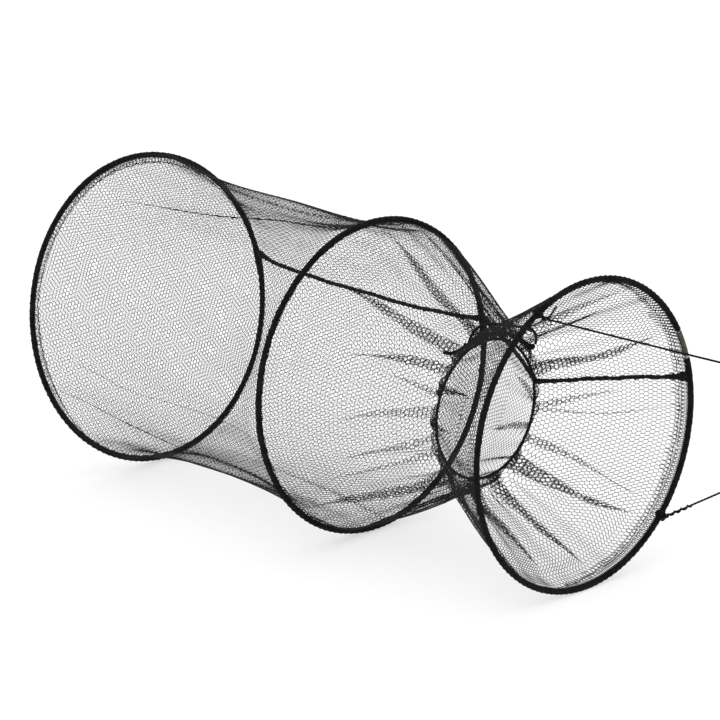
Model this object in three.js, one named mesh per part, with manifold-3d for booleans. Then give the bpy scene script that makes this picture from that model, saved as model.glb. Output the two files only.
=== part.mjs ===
// A folding drum net trap: three wire hoops joined by black netting, closed at the base hoop and
// drawn in to a throat behind the open mouth hoop. It lies on its rims with the mouth at +X.
// Units are millimetres, +Z is up, and the origin is at the foot of the middle hoop.
import * as THREE from 'three';
import { mergeVertices } from 'three/addons/utils/BufferGeometryUtils.js';
import Module from 'manifold-3d';

const wasm = await Module();
wasm.setup();

// Hoops
const hoopSides = 40;
const wireSteps = 56;
const wireRadius = 1.6;
const sleeveClearance = 0.3;
const ferruleWall = 0.6;
const ferruleLength = 26;
const bindingOuter = 3.0;
const bindingWall = 0.8;
const exposedLength = 32;
const jointWrapOuter = 3.8;
const middleRadius = 150;
const baseRadius = 153;
const mouthRadius = 144;
const seamAngle = 10;
const mouthJointAngle = 22.5;

// Where the hoops and the throat stand
const chamberLength = 328;
const mouthDistance = 256;
const throatDistance = 138;
const baseSide = 10;
const mouthSide = 14;
const throatSide = 7;
const throatHeight = 148;
const baseLean = 7.35;

// Netting and seams
const netThickness = 0.8;
const netEndGap = 5.4;
const throatEndGap = 2.4;
const cutGap = 0.35;
const chamberWaist = 15;
const funnelWaist = -4;
const chamberFlank = 3.5;
const funnelFlank = 2;
const seamRadius = 2.0;
const seamGap = 0.3;

// Drawstring and bridle
const throatRadius = 65.6;
const drawstringRadius = 1.4;
const tailRadius = 2.1;
const throatKnotRadius = 4.6;
const throatKnotAngle = 74.5;
const bridleRadius = 1.0;
const bridleKnotRadius = 2.6;
const bridleWrapRadius = 5.2;
const upperKnot = { angle: 117.5, forward: 4, inward: 5.5 };
const lowerKnot = { angle: -43.5, forward: 7, inward: 0 };
const endKnotRadius = 3.2;
const endEyeRadius = 5;
const touchGap = 0.3;

const degrees = Math.PI / 180;
const octagonCorner = Math.cos(22.5 * degrees);

const colours = {
  wire: 0x4b4d4c,
  ferrule: 0x77756a,
  binding: 0x151515,
  netting: 0x1d1d1f,
  seam: 0x111112,
  cord: 0x0f0f10,
};

function material(colour, roughness, metalness = 0) {
  return new THREE.MeshStandardMaterial({ color: colour, roughness, metalness });
}

function named(name, geometry, look) {
  const mesh = new THREE.Mesh(geometry, look);
  mesh.name = name;
  return mesh;
}

// An arc round the X axis, from one angle to another, measured from +Y towards +Z
class HoopArc extends THREE.Curve {
  constructor(radius, from, to) {
    super();
    this.radius = radius;
    this.from = from * degrees;
    this.to = to * degrees;
  }

  getPoint(t, target = new THREE.Vector3()) {
    const angle = this.from + (this.to - this.from) * t;
    return target.set(0, this.radius * Math.cos(angle), this.radius * Math.sin(angle));
  }
}

// An eight-sided section with its flats at the given distance from the middle
function octagonPoints(flat) {
  const corner = flat / octagonCorner;
  return Array.from({ length: 8 }, (_, i) => {
    const angle = (22.5 + 45 * i) * degrees;
    return new THREE.Vector2(corner * Math.cos(angle), corner * Math.sin(angle));
  });
}

function section(outer, inner) {
  const shape = new THREE.Shape(octagonPoints(outer));
  if (inner) shape.holes.push(new THREE.Path(octagonPoints(inner).reverse()));
  return shape;
}

function sweep(shape, curve, steps) {
  return new THREE.ExtrudeGeometry(shape, { extrudePath: curve, steps, bevelEnabled: false });
}

function cordAlong(points, radius, stepLength = 6) {
  const curve = new THREE.CatmullRomCurve3(points.map((p) => new THREE.Vector3(...p)));
  const steps = Math.max(4, Math.round(curve.getLength() / stepLength));
  return sweep(section(radius), curve, steps);
}

function toSolid(geometry) {
  const bare = geometry.clone();
  for (const name of Object.keys(bare.attributes)) {
    if (name !== 'position') bare.deleteAttribute(name);
  }
  const merged = mergeVertices(bare, 1e-4);
  return new wasm.Manifold(new wasm.Mesh({
    numProp: 3,
    vertProperties: new Float32Array(merged.attributes.position.array),
    triVerts: new Uint32Array(merged.index.array),
  }));
}

function toGeometry(solid) {
  const mesh = solid.getMesh();
  const geometry = new THREE.BufferGeometry();
  geometry.setAttribute('position', new THREE.BufferAttribute(mesh.vertProperties, 3));
  geometry.setIndex(new THREE.BufferAttribute(mesh.triVerts, 1));
  const flat = geometry.toNonIndexed();
  flat.computeVertexNormals();
  return flat;
}

function joined(...geometries) {
  const solids = geometries.map(toSolid);
  return toGeometry(solids.slice(1).reduce((sum, next) => sum.add(next), solids[0]));
}

function cutBy(geometry, ...cutters) {
  return toGeometry(cutters.map(toSolid).reduce((left, cutter) => left.subtract(cutter), toSolid(geometry)));
}

// A binding's facets: how far each turns, and the share of the radius that their middles keep
const bindingStep = (radius) => (360 - exposedLength / radius / degrees) / hoopSides;
const facetShrink = (radius) => Math.cos((bindingStep(radius) / 2) * degrees);

// The facets are laid so that one is level at the foot. Returns where the binding's arc runs.
function bindingArc(jointAngle, radius) {
  const halfGap = exposedLength / 2 / radius / degrees;
  const wanted = 270 - (jointAngle + halfGap);
  const step = bindingStep(radius);
  const toFoot = (Math.round(wanted / step - 0.5) + 0.5) * step;
  return { from: 270 - toFoot, to: 270 - toFoot + 360 - 2 * halfGap, middle: 270 - toFoot - halfGap };
}

// Wire, crimp sleeve and cloth binding of one hoop, round its own centre
function hoopPieces(name, radius, jointAngle) {
  const arc = bindingArc(jointAngle, radius);
  const halfExposed = exposedLength / 2 / radius / degrees;
  const halfFerrule = ferruleLength / 2 / radius / degrees;
  const halfButt = touchGap / radius / degrees;
  const ferruleInner = wireRadius + sleeveClearance;
  const wire = sweep(
    section(wireRadius),
    new HoopArc(radius, arc.middle + halfButt, arc.middle + 360 - halfButt),
    wireSteps,
  );
  const ferrule = sweep(
    section(ferruleInner + ferruleWall, ferruleInner),
    new HoopArc(radius, arc.middle - halfFerrule, arc.middle + halfFerrule),
    6,
  );
  const binding = sweep(
    section(bindingOuter, bindingOuter - bindingWall),
    new HoopArc(radius, arc.from, arc.to),
    hoopSides,
  );
  return {
    middle: arc.middle,
    halfExposed,
    meshes: [
      named(`${name}_hoop`, wire, material(colours.wire, 0.45, 0.9)),
      named(`${name}_ferrule`, ferrule, material(colours.ferrule, 0.4, 0.9)),
      named(`${name}_binding`, binding, material(colours.binding, 0.95)),
    ],
  };
}

// The cloth patch wound over a hidden crimp sleeve
function jointWrap(name, radius, hoop) {
  const trim = (touchGap * 2) / radius / degrees;
  const inner = wireRadius + sleeveClearance + ferruleWall + sleeveClearance;
  const reach = hoop.halfExposed - trim;
  const arc = new HoopArc(radius, hoop.middle - reach, hoop.middle + reach);
  const wrap = sweep(section(jointWrapOuter, inner), arc, 6);
  return named(`${name}_joint_wrap`, wrap, material(colours.binding, 0.95));
}

// Places of the hoop centres
const hoopFoot = (radius) => (radius + bindingOuter) * facetShrink(radius);
const middleCentre = new THREE.Vector3(0, 0, hoopFoot(middleRadius));
const mouthCentre = new THREE.Vector3(mouthDistance, mouthSide, hoopFoot(mouthRadius));
const leanedCorner = (bindingOuter / octagonCorner) * Math.cos((22.5 - baseLean) * degrees);
const baseFootDrop = baseRadius * facetShrink(baseRadius);
const baseCentre = new THREE.Vector3(
  -chamberLength,
  baseSide,
  leanedCorner + baseFootDrop * Math.cos(baseLean * degrees),
);
const throatCentre = new THREE.Vector3(throatDistance, throatSide, throatHeight);

// A thin tube of netting between two round ends. Its radius and middle follow the station curve,
// and lean tips its low-x end as the base hoop leans.
function netTube(stations, lean = 0) {
  const half = netThickness / 2;
  const outside = stations.map(([x, radius]) => new THREE.Vector2(radius + half, x));
  const inside = stations.map(([x, radius]) => new THREE.Vector2(radius - half, x)).reverse();
  const lathe = new THREE.LatheGeometry([...outside, ...inside, outside[0]], hoopSides);
  lathe.rotateZ(-Math.PI / 2);
  const place = lathe.attributes.position;
  const first = stations[0];
  const last = stations[stations.length - 1];
  for (let i = 0; i < place.count; i += 1) {
    const t = (place.getX(i) - first[0]) / (last[0] - first[0]);
    const x = place.getX(i) + lean * (1 - t) * place.getZ(i);
    place.setXYZ(i, x, place.getY(i) + first[2] + (last[2] - first[2]) * t,
      place.getZ(i) + first[3] + (last[3] - first[3]) * t);
  }
  return lathe;
}

// Stations of a net between two rings: x, radius, and the middle's y and z, pulled in by the waist.
// The higher the flank, the sooner the net draws in beside its rings.
function netStations(a, radiusA, b, radiusB, [waist, flank], count, gapA = netEndGap, gapB = netEndGap) {
  const length = b.x - a.x;
  return Array.from({ length: count + 1 }, (_, i) => {
    const x = gapA + ((length - gapA - gapB) * i) / count;
    const t = x / length;
    const drawn = waist * (1 - Math.abs(2 * t - 1) ** flank);
    const radius = radiusA + (radiusB - radiusA) * t - drawn;
    return [a.x + x, radius, a.y + (b.y - a.y) * t, a.z + (b.z - a.z) * t];
  });
}

// A corded seam that lies on a net at one angle
function seamAlong(stations, lean = 0) {
  const lift = netThickness / 2 + seamGap + seamRadius;
  const last = stations[stations.length - 1];
  const span = last[0] - stations[0][0];
  const points = stations.map(([x, radius, y, z], i) => {
    const next = stations[Math.min(i + 1, stations.length - 1)];
    const before = stations[Math.max(i - 1, 0)];
    const slope = (next[1] - before[1]) / (next[0] - before[0]);
    const out = radius + lift * Math.sqrt(1 + slope * slope);
    const t = (x - stations[0][0]) / span;
    const rise = out * Math.sin(seamAngle * degrees);
    return [x + lean * (1 - t) * rise, y + out * Math.cos(seamAngle * degrees), z + rise];
  });
  return cordAlong(points, seamRadius, 18);
}

const netting = material(colours.netting, 0.9);
const seamCloth = material(colours.seam, 0.95);
const cordCloth = material(colours.cord, 0.85);

// Base hoop with the net disc that closes the trap, leaning back with its top towards -X
function baseGroup() {
  const group = new THREE.Group();
  const hoop = hoopPieces('base', baseRadius, seamAngle);
  const discRadius = (baseRadius - bindingOuter / octagonCorner) * Math.cos(Math.PI / hoopSides) - touchGap;
  const disc = new THREE.CylinderGeometry(discRadius, discRadius, netThickness, hoopSides);
  disc.rotateZ(-Math.PI / 2);
  group.add(...hoop.meshes, jointWrap('base', baseRadius, hoop), named('base_net', disc, netting));
  group.position.copy(baseCentre);
  group.rotation.y = -baseLean * degrees;
  return group;
}

function middleGroup() {
  const group = new THREE.Group();
  const hoop = hoopPieces('middle', middleRadius, seamAngle);
  group.add(...hoop.meshes, jointWrap('middle', middleRadius, hoop));
  group.position.copy(middleCentre);
  return group;
}

function mouthGroup() {
  const group = new THREE.Group();
  group.add(...hoopPieces('mouth', mouthRadius, mouthJointAngle).meshes);
  group.position.copy(mouthCentre);
  return group;
}

// A point beside the mouth hoop's wire: at an angle round it, forward of it and inward of it
function besideMouth(angle, forward, inward) {
  const across = (mouthRadius - inward) * Math.cos(angle * degrees);
  const up = (mouthRadius - inward) * Math.sin(angle * degrees);
  return new THREE.Vector3(forward, across, up).add(mouthCentre);
}

// The bridle's turn round the hoop, with its knot in front. Swell is what a cutter adds to it.
function bridleKnot({ angle, forward, inward }, swell = 0) {
  const turn = new THREE.TorusGeometry(bridleWrapRadius, bridleRadius + swell, 8, 16);
  turn.rotateX(angle * degrees);
  turn.translate(...besideMouth(angle, 0, 0).toArray());
  const lump = new THREE.SphereGeometry(bridleKnotRadius + swell, 10, 8);
  lump.translate(...besideMouth(angle, forward, inward).toArray());
  return joined(turn, lump);
}

const bridleEnd = [516, 143, 202];

// A taut leg runs straight from the face of its knot to the face of the end knot
function bridleLeg({ angle, forward, inward }) {
  const from = besideMouth(angle, forward, inward);
  const to = new THREE.Vector3(...bridleEnd);
  const along = to.clone().sub(from).normalize();
  from.addScaledVector(along, bridleKnotRadius + touchGap);
  to.addScaledVector(along, -(endKnotRadius + touchGap));
  return sweep(section(bridleRadius), new THREE.LineCurve3(from, to), 36);
}

// The knot that joins the legs, with the eye that a hauling line ties to
function endKnot() {
  const lump = new THREE.SphereGeometry(endKnotRadius, 12, 8);
  const eye = new THREE.TorusGeometry(endEyeRadius, bridleRadius, 8, 16);
  eye.rotateX(Math.PI / 2);
  eye.translate(endEyeRadius + endKnotRadius - bridleRadius, 0, 0);
  const knot = joined(lump, eye);
  knot.translate(...bridleEnd);
  return knot;
}

// The drawstring's knot on top of the throat, its two bow loops and its two tails
const throatKnotOut = throatRadius + drawstringRadius + touchGap + throatKnotRadius;
const throatKnotPlace = new THREE.Vector3(
  0,
  throatKnotOut * Math.cos(throatKnotAngle * degrees),
  throatKnotOut * Math.sin(throatKnotAngle * degrees),
).add(throatCentre);

function throatKnot(swell = 0) {
  const lump = new THREE.SphereGeometry(throatKnotRadius + swell, 12, 10);
  lump.translate(...throatKnotPlace.toArray());
  return lump;
}

const bowRight = [
  [144, 31.6, 224.2], [144, 45.3, 220], [144, 54.8, 217.2], [143.5, 62.9, 213.3], [143, 67.9, 207.7],
  [142.5, 69.2, 202.5], [142, 68.6, 198.9],
];
const bowLeft = [
  [144, 28.4, 225.3], [144, 13.9, 229.1], [144, 0.5, 231.4], [143.5, -10.4, 230.2], [142.6, -17.1, 225.4],
  [141, -19.5, 218],
];
const tailLeft = [
  [138, 19.2, 218.6], [138, 8.1, 219.1], [138, 0.1, 218.6], [138, -9.8, 217.1], [138, -19, 214.4],
  [138, -28.2, 211.4], [138, -38.6, 210.5], [138, -48.5, 213.4],
];
const tailRight = [
  [138.7, 33, 215.3], [139.6, 40.3, 211.8], [140, 46.3, 208.4], [140, 52.8, 204.2], [140, 59, 200.2],
  [140, 64.6, 196.6],
];
const stopKnotRadius = 3.4;

function tailWithStop(points) {
  const stop = new THREE.SphereGeometry(stopKnotRadius, 8, 6);
  stop.translate(...points[points.length - 1]);
  return joined(cordAlong(points, tailRadius), stop);
}

// The nets, cut clear of the knots that are tied through them
const chamberStations = netStations(
  baseCentre, baseRadius, middleCentre, middleRadius, [chamberWaist, chamberFlank], 14,
);
const rearStations = netStations(
  middleCentre, middleRadius, throatCentre, throatRadius, [funnelWaist, funnelFlank], 4,
  netEndGap, throatEndGap,
);
const frontStations = netStations(
  throatCentre, throatRadius, mouthCentre, mouthRadius, [funnelWaist, funnelFlank], 4,
  throatEndGap, netEndGap,
);
const leanSlope = -Math.tan(baseLean * degrees);
const chamberNet = netTube(chamberStations, leanSlope);
const rearNet = cutBy(netTube(rearStations), throatKnot(cutGap));
const frontNet = cutBy(
  netTube(frontStations),
  throatKnot(cutGap),
  bridleKnot(upperKnot, cutGap),
  bridleKnot(lowerKnot, cutGap),
);

const throatCord = new THREE.TorusGeometry(throatRadius, drawstringRadius, 8, 32);
throatCord.rotateY(Math.PI / 2);
throatCord.translate(...throatCentre.toArray());

const trap = new THREE.Group();
trap.add(
  baseGroup(),
  middleGroup(),
  mouthGroup(),
  named('chamber_net', chamberNet, netting),
  named('chamber_seam', seamAlong(chamberStations, leanSlope), seamCloth),
  named('rear_funnel_net', rearNet, netting),
  named('rear_funnel_seam', seamAlong(rearStations), seamCloth),
  named('front_funnel_net', frontNet, netting),
  named('front_funnel_seam', seamAlong(frontStations), seamCloth),
  named('throat_cord', throatCord, cordCloth),
  named('throat_knot', throatKnot(), cordCloth),
  named('throat_bow_right', cordAlong(bowRight, drawstringRadius), cordCloth),
  named('throat_bow_left', cordAlong(bowLeft, drawstringRadius), cordCloth),
  named('throat_tail_left', cordAlong(tailLeft, tailRadius), cordCloth),
  named('throat_tail_right', tailWithStop(tailRight), cordCloth),
  named('bridle_knot_upper', bridleKnot(upperKnot), cordCloth),
  named('bridle_knot_lower', bridleKnot(lowerKnot), cordCloth),
  named('bridle_leg_upper', bridleLeg(upperKnot), cordCloth),
  named('bridle_leg_lower', bridleLeg(lowerKnot), cordCloth),
  named('bridle_end_knot', endKnot(), cordCloth),
);

export default trap;
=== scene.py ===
import math

import bpy
import numpy as np
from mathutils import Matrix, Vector


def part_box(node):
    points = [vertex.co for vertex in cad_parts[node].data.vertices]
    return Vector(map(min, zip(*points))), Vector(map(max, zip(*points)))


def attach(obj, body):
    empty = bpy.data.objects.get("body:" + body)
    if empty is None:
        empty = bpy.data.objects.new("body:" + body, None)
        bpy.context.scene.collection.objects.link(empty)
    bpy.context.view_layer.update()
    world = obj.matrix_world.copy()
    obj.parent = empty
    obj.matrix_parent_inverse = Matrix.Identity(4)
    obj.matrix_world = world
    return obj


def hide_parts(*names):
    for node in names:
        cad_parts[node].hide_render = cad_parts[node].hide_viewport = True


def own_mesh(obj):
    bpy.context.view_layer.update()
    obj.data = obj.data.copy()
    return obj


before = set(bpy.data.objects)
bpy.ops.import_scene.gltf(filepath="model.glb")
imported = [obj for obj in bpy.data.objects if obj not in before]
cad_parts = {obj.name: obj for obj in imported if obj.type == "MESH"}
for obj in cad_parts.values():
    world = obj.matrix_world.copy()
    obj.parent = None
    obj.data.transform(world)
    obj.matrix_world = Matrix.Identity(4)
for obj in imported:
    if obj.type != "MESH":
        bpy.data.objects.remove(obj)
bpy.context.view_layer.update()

# Everything is in metres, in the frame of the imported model: +X to the mouth, +Z up.
# A hoop's angles are in degrees, from +Y towards +Z.

cameraLook = {
    "target": (0.0, 0.0, 0.15),
    "azimuth": 45.01,
    "elevation": 16.41,
    "distance": 3.5,
    "lens": 185.55,
    "shift": (-0.0201, 0.0258),
}


def addCamera(look):
    azimuth, elevation = math.radians(look["azimuth"]), math.radians(look["elevation"])
    away = Vector((math.sin(azimuth) * math.cos(elevation),
                   -math.cos(azimuth) * math.cos(elevation),
                   math.sin(elevation)))
    place = Vector(look["target"]) + away * look["distance"]
    bpy.ops.object.camera_add(location=place, rotation=away.to_track_quat("Z", "Y").to_euler())
    camera = bpy.context.object
    camera.name = "trapCamera"
    camera.data.lens = look["lens"]
    camera.data.sensor_width = 36
    camera.data.shift_x, camera.data.shift_y = look["shift"]
    camera.data.clip_end = 50
    bpy.context.scene.camera = camera


bpy.ops.object.select_all(action="DESELECT")
addCamera(cameraLook)
print("camera placed")


plainFinish = {"metallic": 0.0, "sheen": 0.0, "sheenRoughness": 0.6, "specular": 0.14, "spread": (0.3, 0.7)}


def newFinish(name, **changes):  # a surface whose colour drifts between dark and light
    look = {**plainFinish, **changes}
    material = bpy.data.materials.new(name)
    material.use_nodes = True
    tree = material.node_tree
    shader = tree.nodes["Principled BSDF"]
    for key, entry in (("roughness", "Roughness"), ("metallic", "Metallic"), ("sheen", "Sheen Weight"),
                       ("sheenRoughness", "Sheen Roughness"), ("specular", "Specular IOR Level")):
        shader.inputs[entry].default_value = look[key]
    drift = noiseAt(tree, mapped(tree, "Object"), look["scale"], look["detail"])
    colour = colourBetween(tree, drift, look["dark"], look["light"], *look["spread"])
    tree.links.new(colour, shader.inputs["Base Color"])
    return material, tree, shader


def addNode(tree, kind, **settings):
    node = tree.nodes.new(kind)
    for key, value in settings.items():
        setattr(node, key, value)
    return node


def mapped(tree, coordinates, scale=(1, 1, 1)):
    where = addNode(tree, "ShaderNodeTexCoord")
    mapping = addNode(tree, "ShaderNodeMapping")
    mapping.inputs["Scale"].default_value = scale
    tree.links.new(where.outputs[coordinates], mapping.inputs["Vector"])
    return mapping.outputs["Vector"]


def colourBetween(tree, factor, dark, light, low, high):
    ramp = addNode(tree, "ShaderNodeValToRGB")
    ramp.color_ramp.elements[0].position = low
    ramp.color_ramp.elements[0].color = (*dark, 1)
    ramp.color_ramp.elements[1].position = high
    ramp.color_ramp.elements[1].color = (*light, 1)
    tree.links.new(factor, ramp.inputs["Fac"])
    return ramp.outputs["Color"]


def noiseAt(tree, vector, scale, detail):
    noise = addNode(tree, "ShaderNodeTexNoise")
    noise.inputs["Scale"].default_value = scale
    noise.inputs["Detail"].default_value = detail
    tree.links.new(vector, noise.inputs["Vector"])
    return noise.outputs["Fac"]


def bandsAt(tree, vector, scale, direction="X", distortion=0.0):
    wave = addNode(tree, "ShaderNodeTexWave", bands_direction=direction)
    wave.inputs["Scale"].default_value = scale
    wave.inputs["Distortion"].default_value = distortion
    tree.links.new(vector, wave.inputs["Vector"])
    return wave.outputs["Fac"]


def combined(tree, first, second, operation):
    node = addNode(tree, "ShaderNodeMath", operation=operation)
    tree.links.new(first, node.inputs[0])
    tree.links.new(second, node.inputs[1])
    return node.outputs["Value"]


def raised(tree, shader, height, distance):
    bump = addNode(tree, "ShaderNodeBump")
    bump.inputs["Distance"].default_value = distance
    tree.links.new(height, bump.inputs["Height"])
    tree.links.new(bump.outputs["Normal"], shader.inputs["Normal"])


def roughBetween(tree, shader, factor, low, high):
    span = addNode(tree, "ShaderNodeMapRange")
    span.inputs["To Min"].default_value = low
    span.inputs["To Max"].default_value = high
    tree.links.new(factor, span.inputs["Value"])
    tree.links.new(span.outputs["Result"], shader.inputs["Roughness"])


def makeTape():  # woven hem tape, wound round the hoops
    material, tree, shader = newFinish("hemTape", roughness=0.92, sheen=0.01, specular=0.08, scale=90,
                                       detail=5, dark=(0.0035, 0.0035, 0.0042), light=(0.012, 0.0115, 0.011),
                                       spread=(0.35, 0.75))
    warp = bandsAt(tree, mapped(tree, "UV", (330, 0, 0)), 1.0)
    weft = bandsAt(tree, mapped(tree, "UV", (0, 5, 0)), 1.0, "Y")
    roughBetween(tree, shader, noiseAt(tree, mapped(tree, "UV"), 40, 3), 0.78, 0.96)
    raised(tree, shader, combined(tree, warp, weft, "MULTIPLY"), 0.00018)
    return material


def makeNetYarn(name, dark, light):  # knotless polyester mesh
    material, tree, shader = newFinish(name, roughness=0.7, sheen=0.02, scale=34, detail=4,
                                       dark=dark, light=light)
    roughBetween(tree, shader, noiseAt(tree, mapped(tree, "Object"), 700, 2), 0.55, 0.85)
    return material


def makeBraid():  # braided nylon cord, pattern along the cord's own UV map
    material, tree, shader = newFinish("braidedCord", roughness=0.8, sheen=0.01, specular=0.08, scale=220,
                                       detail=4, dark=(0.003, 0.003, 0.0035), light=(0.011, 0.011, 0.011))
    left = bandsAt(tree, mapped(tree, "UV", (1, 2, 0)), 1.6, "DIAGONAL")
    right = bandsAt(tree, mapped(tree, "UV", (1, -2, 0)), 1.6, "DIAGONAL")
    plait = combined(tree, left, right, "MAXIMUM")
    roughBetween(tree, shader, plait, 0.85, 0.6)
    raised(tree, shader, plait, 0.00012)
    return material


def makeOverlock():  # overlocked seam: close loops of thread round a core
    material, tree, shader = newFinish("overlockThread", roughness=0.9, sheen=0.02, scale=300, detail=5,
                                       dark=(0.005, 0.005, 0.005), light=(0.018, 0.018, 0.018))
    loops = bandsAt(tree, mapped(tree, "UV", (1, 0.6, 0)), 2.4, "DIAGONAL", 1.5)
    roughBetween(tree, shader, loops, 0.95, 0.75)
    raised(tree, shader, loops, 0.0002)
    return material


def makeSpringWire():  # drawn wire, dull, with fine draw marks
    material, tree, shader = newFinish("springWire", roughness=0.42, metallic=1.0, specular=0.5, scale=60,
                                       detail=6, dark=(0.16, 0.155, 0.15), light=(0.32, 0.32, 0.32))
    marks = noiseAt(tree, mapped(tree, "Object", (400, 90, 90)), 9, 4)
    roughBetween(tree, shader, marks, 0.3, 0.55)
    raised(tree, shader, marks, 0.00003)
    return material


def makeCrimp():  # crimp sleeve, dull olive grey
    material, tree, shader = newFinish("crimpSleeve", roughness=0.45, metallic=0.9, specular=0.5, scale=120,
                                       detail=5, dark=(0.05, 0.048, 0.034), light=(0.1, 0.096, 0.07))
    dents = noiseAt(tree, mapped(tree, "Object"), 260, 2)
    roughBetween(tree, shader, dents, 0.35, 0.6)
    raised(tree, shader, dents, 0.0001)
    return material


tape = makeTape()
netYarn = makeNetYarn("netYarn", (0.009, 0.009, 0.0105), (0.022, 0.022, 0.025))
hemYarn = makeNetYarn("hemYarn", (0.006, 0.006, 0.007), (0.016, 0.016, 0.017))
braid = makeBraid()
overlock = makeOverlock()
springWire = makeSpringWire()
crimp = makeCrimp()
print("finishes made")


def meshFrom(name, points, quads, triangles, finish, slot, uv=None):
    mesh = bpy.data.meshes.new(name)
    loops = np.concatenate([np.asarray(quads, np.int32).ravel(), np.asarray(triangles, np.int32).ravel()])
    sizes = np.concatenate([np.full(len(quads), 4), np.full(len(triangles), 3)]).astype(np.int32)
    starts = np.concatenate([[0], np.cumsum(sizes)[:-1]]).astype(np.int32)
    mesh.vertices.add(len(points))
    mesh.vertices.foreach_set("co", np.asarray(points, np.float32).ravel())
    mesh.loops.add(len(loops))
    mesh.loops.foreach_set("vertex_index", loops)
    mesh.polygons.add(len(sizes))
    mesh.polygons.foreach_set("loop_start", starts)
    mesh.polygons.foreach_set("loop_total", sizes)
    mesh.update(calc_edges=True)
    mesh.validate()
    if uv is not None:
        layer = mesh.uv_layers.new(name="along")
        layer.data.foreach_set("uv", np.asarray(uv, np.float32).ravel())
    mesh.polygons.foreach_set("use_smooth", np.ones(len(mesh.polygons), bool))
    mesh.materials.append(finish)
    piece = bpy.data.objects.new(name, mesh)
    bpy.context.scene.collection.objects.link(piece)
    return piece


def unit(vectors):
    return vectors / np.maximum(np.linalg.norm(vectors, axis=-1, keepdims=True), 1e-12)


def smoothLine(points, step):  # an even line through the points
    points = np.array(points, float)
    ends = np.vstack([2 * points[0] - points[1], points, 2 * points[-1] - points[-2]])
    t = np.linspace(0, 1, 24, endpoint=False)[:, None]
    parts = []
    for a, b, c, d in zip(ends[:-3], ends[1:-2], ends[2:-1], ends[3:]):
        parts.append(0.5 * (2 * b + (c - a) * t + (2 * a - 5 * b + 4 * c - d) * t ** 2
                            + (3 * b - a - 3 * c + d) * t ** 3))
    return evenLine(np.vstack(parts + [ends[-2:-1]]), step)


def travelled(line):  # distance along a line at each of its points
    return np.concatenate([[0], np.cumsum(np.linalg.norm(np.diff(np.asarray(line), axis=0), axis=1))])


def evenLine(dense, step):
    far = travelled(dense)
    even = np.linspace(0, far[-1], max(3, int(round(far[-1] / step))) + 1)
    return np.stack([np.interp(even, far, dense[:, k]) for k in range(3)], 1)


def carriedFrames(line, closed):  # normals carried along the line without twist
    if closed:
        tangents = unit(np.roll(line, -1, 0) - np.roll(line, 1, 0))
    else:
        tangents = unit(np.gradient(line, axis=0))
    helper = np.array([0.0, 0.0, 1.0]) if abs(tangents[0][2]) < 0.8 else np.array([0.0, 1.0, 0.0])
    normal = unit(np.cross(np.cross(tangents[0], helper), tangents[0]))
    normals = [normal]
    for tangent in tangents[1:]:
        normal = unit(normal - tangent * np.dot(normal, tangent))
        normals.append(normal)
    normals = np.array(normals)
    sides = np.cross(tangents, normals)
    if closed:  # spread the leftover turn over the whole ring
        last = unit(normals[-1] - tangents[0] * np.dot(normals[-1], tangents[0]))
        turn = math.atan2(np.dot(last, sides[0]), np.dot(last, normals[0]))
        angle = (-turn * np.arange(len(line)) / len(line))[:, None]
        normals, sides = (np.cos(angle) * normals + np.sin(angle) * sides,
                          np.cos(angle) * sides - np.sin(angle) * normals)
    return tangents, normals, sides


def lobes(strands, depth, pitch):  # strands laid up with a twist
    def shape(angle, along):
        return 1 - depth * (0.5 - 0.5 * np.cos(strands * (angle - 2 * math.pi * along / pitch)))
    return shape


def plaited(depth, pitch):  # diamond relief of a round braid
    def shape(angle, along):
        turn = 2 * math.pi * along / pitch
        one = np.abs(np.sin(2 * (angle + turn)))
        other = np.abs(np.sin(2 * (angle - turn)))
        return 1 - depth * (1 - np.maximum(one, other))
    return shape


def ropeParts(line, radius, shape, sides, closed):
    # The points, faces and UVs of one rope whose surface follows shape(angle, distance along).
    line = np.asarray(line, float)
    count = len(line)
    tangents, normals, across = carriedFrames(line, closed)
    along = travelled(line)
    angle = 2 * math.pi * np.arange(sides) / sides
    reach = np.asarray(radius, float).reshape(-1, 1) * shape(angle[None, :], along[:, None])
    points = (line[:, None, :] + reach[..., None] * (np.cos(angle)[None, :, None] * normals[:, None, :]
                                                    + np.sin(angle)[None, :, None] * across[:, None, :]))
    i = np.arange(count if closed else count - 1)[:, None]
    k = np.arange(sides)[None, :]
    after, nextSide = (i + 1) % count, (k + 1) % sides
    quads = np.stack([i * sides + k, i * sides + nextSide, after * sides + nextSide, after * sides + k],
                     -1).reshape(-1, 4)
    u0, u1 = along[i] * 1000, np.where(i + 1 < count, along[after], along[-1] + along[1]) * 1000  # in mm
    v0, v1 = k / sides, (k + 1) / sides
    uv = np.stack(np.broadcast_arrays(u0, v0, u0, v1, u1, v1, u1, v0), -1).reshape(-1, 2)
    points = points.reshape(-1, 3)
    triangles = np.zeros((0, 3), int)
    if not closed:  # rounded ends, each closed by a fan
        tips = np.stack([line[0] - tangents[0] * reach[0].mean() * 0.5,
                         line[-1] + tangents[-1] * reach[-1].mean() * 0.5])
        first, last = count * sides, count * sides + 1
        ring = np.arange(sides)
        turned = (ring + 1) % sides
        head = np.stack([np.full(sides, first), turned, ring], 1)
        tail = np.stack([np.full(sides, last), (count - 1) * sides + ring, (count - 1) * sides + turned], 1)
        triangles = np.vstack([head, tail])
        uv = np.vstack([uv, np.zeros((len(triangles) * 3, 2))])
        points = np.vstack([points, tips])
    return points, quads, triangles, uv


def joinStrands(groups):
    points, quads, triangles, start = [], [], [], 0
    for p, q, t in groups:
        points.append(p)
        quads.append(q + start)
        triangles.append(t + start)
        start += len(p)
    return np.vstack(points), np.vstack(quads), np.vstack(triangles)


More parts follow.
